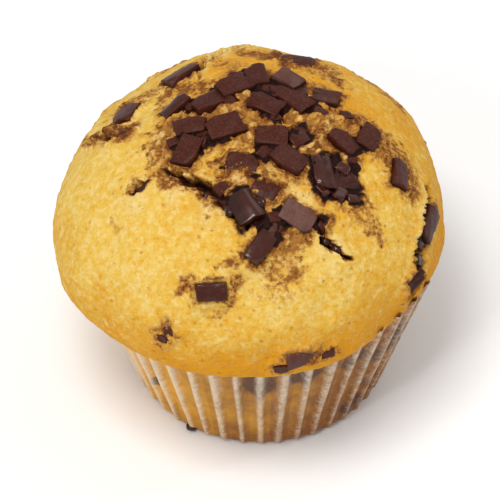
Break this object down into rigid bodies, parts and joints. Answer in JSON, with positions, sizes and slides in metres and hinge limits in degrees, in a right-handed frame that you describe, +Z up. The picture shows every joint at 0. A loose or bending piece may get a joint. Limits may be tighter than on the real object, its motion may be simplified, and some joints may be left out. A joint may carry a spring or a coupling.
{
  "type": "chocolate chunk muffin in a paper case",
  "caption": "Domed muffin with dark chocolate chunks baked into a cracked golden crust, in a pleated paper case.",
  "frame": {"origin": "middle of the paper case's flat foot", "axes": "+Z up through the muffin's crown, -Y towards the side that the picture shows"},
  "size_m": [0.0758, 0.0771, 0.0651],
  "materials": {
    "cake": "golden baked crust, matte with a soft sheen, pale crumb where it tore",
    "chocolate": "dark chocolate, half gloss where it melted and set again",
    "paper": "thin pleated baking paper, stained translucent by the cake's fat"
  },
  "bodies": {
    "root": {"cake": "cake", "paper_case": "paper"}
  },
  "joints": []
}
